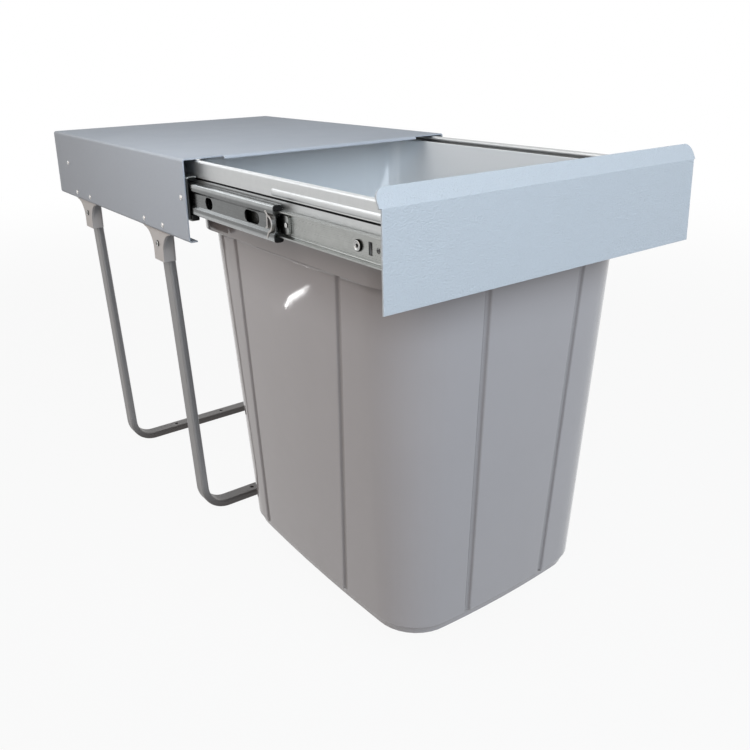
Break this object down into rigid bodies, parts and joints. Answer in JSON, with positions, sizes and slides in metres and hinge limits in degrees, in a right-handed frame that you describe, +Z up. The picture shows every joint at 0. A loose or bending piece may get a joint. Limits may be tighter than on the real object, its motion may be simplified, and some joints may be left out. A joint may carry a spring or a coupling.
{
  "type": "pull_out_bin_frame",
  "caption": "Floor-standing sheet-metal housing on U-shaped tube legs, with a telescopic drawer that carries a tapered waste bin behind a front panel",
  "frame": {"origin": "centre of the four outer floor screw holes, on the floor", "axes": "X across the unit, -Y towards the user (the way the drawer pulls out), Z up"},
  "size_m": [0.361, 0.7767, 0.4639],
  "materials": {
    "cover_steel": "satin silver-grey coat",
    "leg_steel": "satin grey coat",
    "bracket_plastic": "moulded warm grey",
    "fastener_steel": "zinc plated",
    "slide_zinc": "zinc plated, rolled",
    "ball_steel": "polished",
    "black_plastic": "moulded black",
    "rail_zinc": "bright zinc",
    "panel_paint": "satin silver-blue coat",
    "bin_plastic": "glossy grey moulding"
  },
  "bodies": {
    "frame": {"cover": "cover_steel", "leg_front": "leg_steel", "leg_rear": "leg_steel", "bracket_front_l": "bracket_plastic", "bracket_front_r": "bracket_plastic", "bracket_rear_l": "bracket_plastic", "bracket_rear_r": "bracket_plastic", "socket_screws": "fastener_steel", "rivets_l": "fastener_steel", "rivets_r": "fastener_steel", "outer_l": "slide_zinc", "outer_r": "slide_zinc", "stop_l": "black_plastic", "stop_r": "black_plastic"},
    "drawer": {"inner_l": "slide_zinc", "inner_r": "slide_zinc", "rail_l": "rail_zinc", "rail_r": "rail_zinc", "rail_screws_l": "fastener_steel", "rail_screws_r": "fastener_steel", "rear_bar": "rail_zinc", "panel": "panel_paint", "bin": "bin_plastic"},
    "mid_l": {"mid_l": "slide_zinc", "end_piece_l": "black_plastic", "catch_l": "black_plastic"},
    "cage_outer_l": {"cage_outer_l": "ball_steel"},
    "cage_inner_l": {"cage_inner_l": "ball_steel"},
    "lever_l": {"lever_l": "black_plastic"},
    "mid_r": {"mid_r": "slide_zinc", "end_piece_r": "black_plastic", "catch_r": "black_plastic"},
    "cage_outer_r": {"cage_outer_r": "ball_steel"},
    "cage_inner_r": {"cage_inner_r": "ball_steel"},
    "lever_r": {"lever_r": "black_plastic"}
  },
  "joints": [
    {"name": "drawer_slide", "type": "slide", "parent": "frame", "child": "drawer", "axis": [0, -1, 0], "range_m": [-0.328, 0.072]},
    {"name": "mid_l_slide", "type": "slide", "parent": "frame", "child": "mid_l", "axis": [0, -1, 0], "range_m": [-0.164, 0.036]},
    {"name": "cage_outer_l_slide", "type": "slide", "parent": "frame", "child": "cage_outer_l", "axis": [0, -1, 0], "range_m": [-0.082, 0.018]},
    {"name": "cage_inner_l_slide", "type": "slide", "parent": "frame", "child": "cage_inner_l", "axis": [0, -1, 0], "range_m": [-0.246, 0.054]},
    {"name": "lever_l_tilt", "type": "hinge", "parent": "drawer", "child": "lever_l", "pos_m": [-0.1596, -0.3965, 0.4123], "axis": [1, 0, 0], "range_deg": [-5, 5], "stiffness_Nm_per_rad": 0.05},
    {"name": "mid_r_slide", "type": "slide", "parent": "frame", "child": "mid_r", "axis": [0, -1, 0], "range_m": [-0.164, 0.036]},
    {"name": "cage_outer_r_slide", "type": "slide", "parent": "frame", "child": "cage_outer_r", "axis": [0, -1, 0], "range_m": [-0.082, 0.018]},
    {"name": "cage_inner_r_slide", "type": "slide", "parent": "frame", "child": "cage_inner_r", "axis": [0, -1, 0], "range_m": [-0.246, 0.054]},
    {"name": "lever_r_tilt", "type": "hinge", "parent": "drawer", "child": "lever_r", "pos_m": [0.1596, -0.3965, 0.4123], "axis": [1, 0, 0], "range_deg": [-5, 5], "stiffness_Nm_per_rad": 0.05}
  ],
  "couplings": [
    {"joint": "mid_l_slide", "follows": "drawer_slide", "ratio": 0.5},
    {"joint": "cage_outer_l_slide", "follows": "drawer_slide", "ratio": 0.25},
    {"joint": "cage_inner_l_slide", "follows": "drawer_slide", "ratio": 0.75},
    {"joint": "mid_r_slide", "follows": "drawer_slide", "ratio": 0.5},
    {"joint": "cage_outer_r_slide", "follows": "drawer_slide", "ratio": 0.25},
    {"joint": "cage_inner_r_slide", "follows": "drawer_slide", "ratio": 0.75}
  ]
}
